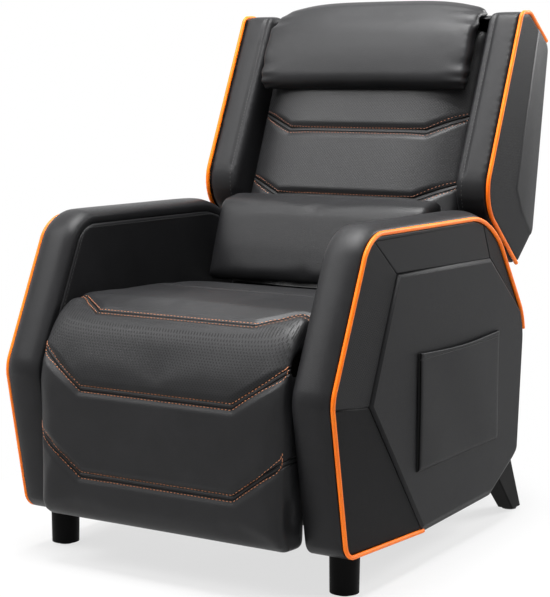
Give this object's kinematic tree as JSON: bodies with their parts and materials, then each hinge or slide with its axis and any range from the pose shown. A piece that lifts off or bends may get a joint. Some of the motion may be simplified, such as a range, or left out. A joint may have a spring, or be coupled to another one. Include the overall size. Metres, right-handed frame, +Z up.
{
  "type": "gaming recliner",
  "caption": "Push-back gaming recliner armchair with wing sides, head and lumbar pillows, orange piping, a side pocket and a leg rest that swings up from the seat front.",
  "frame": {"origin": "on the floor under the middle of the chair's bounding box, at rest with the back up and the leg rest down", "axes": "+Z up, -Y the way the sitter looks, +X towards the sitter's left"},
  "size_m": [0.7071, 0.955, 1.0493],
  "materials": {
    "arm_cover": "fine-grained coated leather, satin",
    "seat_cover": "fine-grained coated leather with sewn channels",
    "back_cover": "fine-grained coated leather, perforated in part",
    "pillow_cover": "smooth coated leather, satin",
    "orange_piping": "bright orange coated cord",
    "frame_wood": "plain plywood",
    "leg_plastic": "black moulded plastic",
    "glide_plastic": "hard plastic",
    "webbing": "woven elastic band",
    "black_steel": "black powder coat",
    "bright_steel": "zinc plated"
  },
  "bodies": {
    "base": {"arm_frame_left": "frame_wood", "arm_frame_right": "frame_wood", "arm_inner_pad_left": "arm_cover", "arm_inner_pad_right": "arm_cover", "arm_band_left": "arm_cover", "arm_band_right": "arm_cover", "arm_side_pad_left": "arm_cover", "arm_side_pad_right": "arm_cover", "arm_front_panel_left": "arm_cover", "arm_front_panel_right": "arm_cover", "arm_top_panel_left": "arm_cover", "arm_top_panel_right": "arm_cover", "arm_piping_left": "orange_piping", "arm_piping_right": "orange_piping", "side_pocket": "arm_cover", "front_leg_left": "leg_plastic", "front_leg_right": "leg_plastic", "rear_leg_left": "leg_plastic", "rear_leg_right": "leg_plastic", "leg_glides": "glide_plastic", "front_cross_tube": "black_steel", "rear_cross_tube": "black_steel", "frame_bolts": "bright_steel", "slide_rail_left": "black_steel", "slide_rail_right": "black_steel", "recline_bracket_left": "black_steel", "recline_bracket_right": "black_steel", "recline_pivot_bolts": "bright_steel"},
    "seat": {"seat_frame": "frame_wood", "seat_springs": "bright_steel", "seat_cushion": "seat_cover", "seat_runner_left": "black_steel", "seat_runner_right": "black_steel", "bearing_plate_left": "black_steel", "bearing_plate_right": "black_steel", "hinge_seat_leaf": "bright_steel", "hinge_pin": "bright_steel"},
    "drive": {"drive_shaft": "black_steel"},
    "push_rods": {"push_rod_left": "black_steel", "push_rod_right": "black_steel", "linkage_rivets": "bright_steel"},
    "leg_rest": {"leg_rest_board": "frame_wood", "leg_rest_cushion": "seat_cover", "hinge_board_leaf": "bright_steel", "leg_rest_bracket_left": "black_steel", "leg_rest_bracket_right": "black_steel"},
    "backrest": {"back_frame": "frame_wood", "back_webbing": "webbing", "back_pad": "back_cover", "wing_left": "back_cover", "wing_right": "back_cover", "wing_piping_left": "orange_piping", "wing_piping_right": "orange_piping", "head_pillow": "pillow_cover", "lumbar_pillow": "pillow_cover", "rear_cover": "back_cover", "back_plate_left": "black_steel", "back_plate_right": "black_steel"}
  },
  "joints": [
    {"name": "seat_slide", "type": "slide", "parent": "base", "child": "seat", "axis": [0, -1, 0], "range_m": [0, 0.0402]},
    {"name": "leg_rest_open", "type": "hinge", "parent": "seat", "child": "leg_rest", "pos_m": [0, -0.43, 0.42], "axis": [-1, 0, 0], "range_deg": [0, 80]},
    {"name": "drive_turn", "type": "hinge", "parent": "seat", "child": "drive", "pos_m": [0, -0.23, 0.348], "axis": [-1, 0, 0], "range_deg": [0, 80]},
    {"name": "rod_turn", "type": "hinge", "parent": "drive", "child": "push_rods", "pos_m": [0, -0.192, 0.178], "axis": [-1, 0, 0], "range_deg": [-80, 0]},
    {"name": "back_recline", "type": "hinge", "parent": "base", "child": "backrest", "pos_m": [0, 0.165, 0.395], "axis": [-1, 0, 0], "range_deg": [0, 48]}
  ],
  "couplings": [
    {"joint": "seat_slide", "follows": "back_recline", "m_per_rad": 0.04775},
    {"joint": "drive_turn", "follows": "leg_rest_open", "ratio": 1},
    {"joint": "rod_turn", "follows": "leg_rest_open", "ratio": -1}
  ]
}
